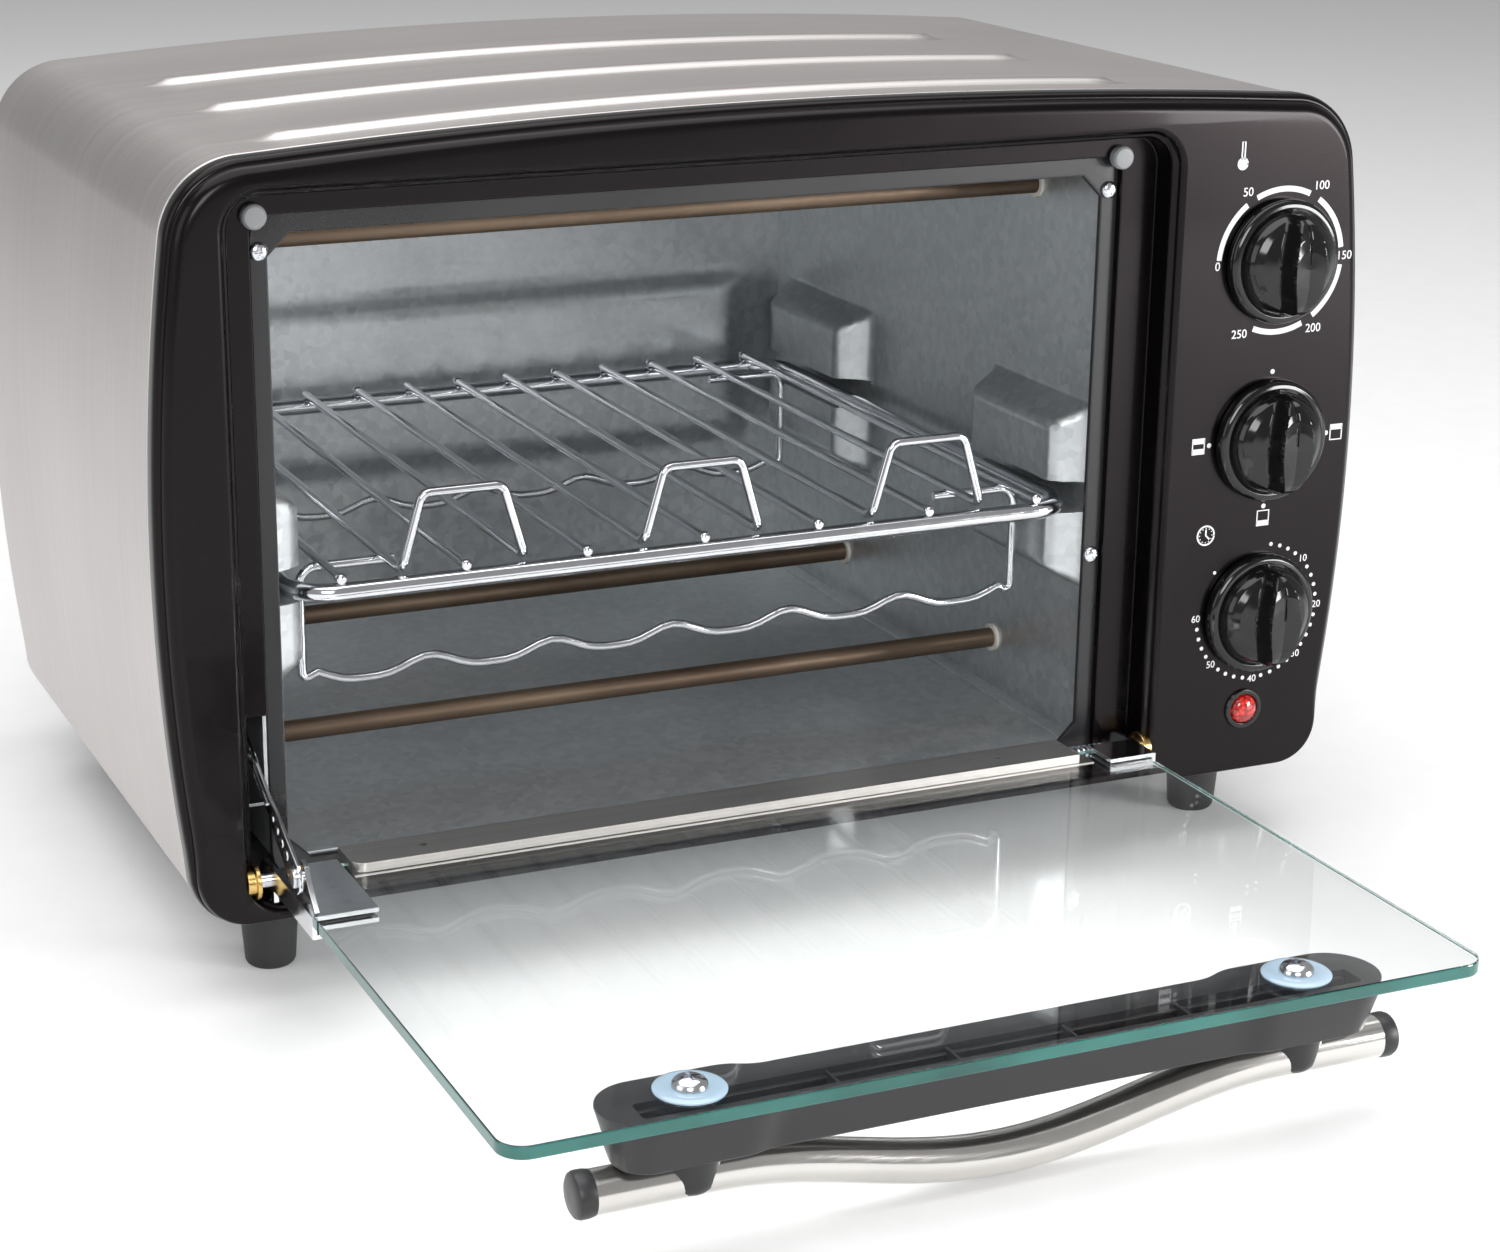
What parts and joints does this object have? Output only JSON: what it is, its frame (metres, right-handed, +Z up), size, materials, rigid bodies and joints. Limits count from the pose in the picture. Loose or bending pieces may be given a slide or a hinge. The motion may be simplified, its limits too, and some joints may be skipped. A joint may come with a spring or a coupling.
{
  "type": "toaster oven",
  "caption": "Countertop toaster oven with a drop-down glass door, sliding wire rack, tube heaters and three control knobs.",
  "frame": {"origin": "on the table plane under the middle of the whole outline, with the door open at rest", "axes": "+X to the user's right facing the controls, +Y towards the back, +Z up"},
  "size_m": [0.42, 0.488, 0.2694],
  "materials": {
    "brushed_cover": "long horizontal brush marks",
    "bronze_enamel": "gloss dark bronze",
    "black_enamel": "satin black enamel",
    "oven_steel": "spangled aluminised steel",
    "back_paint": "satin grey-black paint",
    "foot_rubber": "matte",
    "heater_sheath": "heat-bronzed steel tube",
    "ceramic": "glazed ceramic",
    "plated_steel": "bright zinc plate",
    "switch_plastic": "moulded",
    "timer_case": "pressed sheet",
    "knob_black": "gloss",
    "lamp_red": "clear red",
    "bumper_silicone": "satin",
    "bush_brass": "turned",
    "door_glass": "clear tempered with green edges",
    "strip_steel": "brushed",
    "bracket_chrome": "polished",
    "gasket": "matte",
    "handle_black": "fine satin",
    "handle_steel": "polished tube",
    "washer_clear": "translucent",
    "rack_chrome": "plated wire"
  },
  "bodies": {
    "oven": {"wrap_cover": "brushed_cover", "front_bezel": "bronze_enamel", "mouth_frame": "black_enamel", "oven_left_wall": "oven_steel", "oven_right_wall": "oven_steel", "oven_back_wall": "oven_steel", "oven_roof_sheet": "oven_steel", "oven_floor_sheet": "oven_steel", "base_pan": "oven_steel", "rear_panel": "back_paint", "divider_plate": "oven_steel", "feet": "foot_rubber", "heater_top_front": "heater_sheath", "heater_top_rear": "heater_sheath", "heater_bottom_front": "heater_sheath", "heater_bottom_rear": "heater_sheath", "heater_insulators": "ceramic", "heater_terminals": "plated_steel", "thermostat": "switch_plastic", "selector_switch": "switch_plastic", "timer": "timer_case", "lamp_lens": "lamp_red", "lamp_holder": "plated_steel", "terminal_block": "switch_plastic", "bumpers": "bumper_silicone", "frame_screws": "plated_steel", "rear_screws": "plated_steel", "hinge_bushes": "bush_brass", "stay_guide": "plated_steel"},
    "door": {"door_glass": "door_glass", "seal_strip": "strip_steel", "hinge_plate": "strip_steel", "hinge_bracket_left": "bracket_chrome", "hinge_bracket_right": "bracket_chrome", "hinge_pins": "plated_steel", "door_spring": "plated_steel", "glass_gaskets": "gasket", "stay_rivet": "plated_steel", "handle_base": "handle_black", "handle_tube": "handle_steel", "handle_caps": "handle_black", "handle_screws": "plated_steel", "handle_washers": "washer_clear"},
    "stay_arm": {"link_arm": "bracket_chrome"},
    "rack": {"rack_frame": "rack_chrome", "rack_wires": "rack_chrome", "rack_loops": "rack_chrome", "rack_hoops": "rack_chrome"},
    "temperature_dial": {"temperature_knob": "knob_black", "temperature_shaft": "plated_steel"},
    "selector_dial": {"selector_knob": "knob_black", "selector_shaft": "plated_steel"},
    "timer_dial": {"timer_knob": "knob_black", "timer_shaft": "plated_steel"}
  },
  "joints": [
    {"name": "door_hinge", "type": "hinge", "parent": "oven", "child": "door", "pos_m": [-0.029, -0.039, 0.04], "axis": [-1, 0, 0], "range_deg": [0, 90]},
    {"name": "stay_pivot", "type": "hinge", "parent": "door", "child": "stay_arm", "pos_m": [-0.18, -0.073, 0.054], "axis": [1, 0, 0], "range_deg": [0, 81]},
    {"name": "rack_slide", "type": "slide", "parent": "oven", "child": "rack", "axis": [0, 1, 0], "range_m": [-0.15, 0]},
    {"name": "temperature_turn", "type": "hinge", "parent": "oven", "child": "temperature_dial", "pos_m": [0.173, -0.042, 0.207], "axis": [0, 1, 0], "range_deg": [-90, 210]},
    {"name": "selector_turn", "type": "hinge", "parent": "oven", "child": "selector_dial", "pos_m": [0.173, -0.042, 0.146], "axis": [0, 1, 0], "range_deg": [0, 270]},
    {"name": "timer_turn", "type": "hinge", "parent": "oven", "child": "timer_dial", "pos_m": [0.173, -0.042, 0.085], "axis": [0, 1, 0], "range_deg": [-60, 246]}
  ],
  "couplings": [
    {"joint": "stay_pivot", "follows": "door_hinge", "ratio": 0.9}
  ]
}
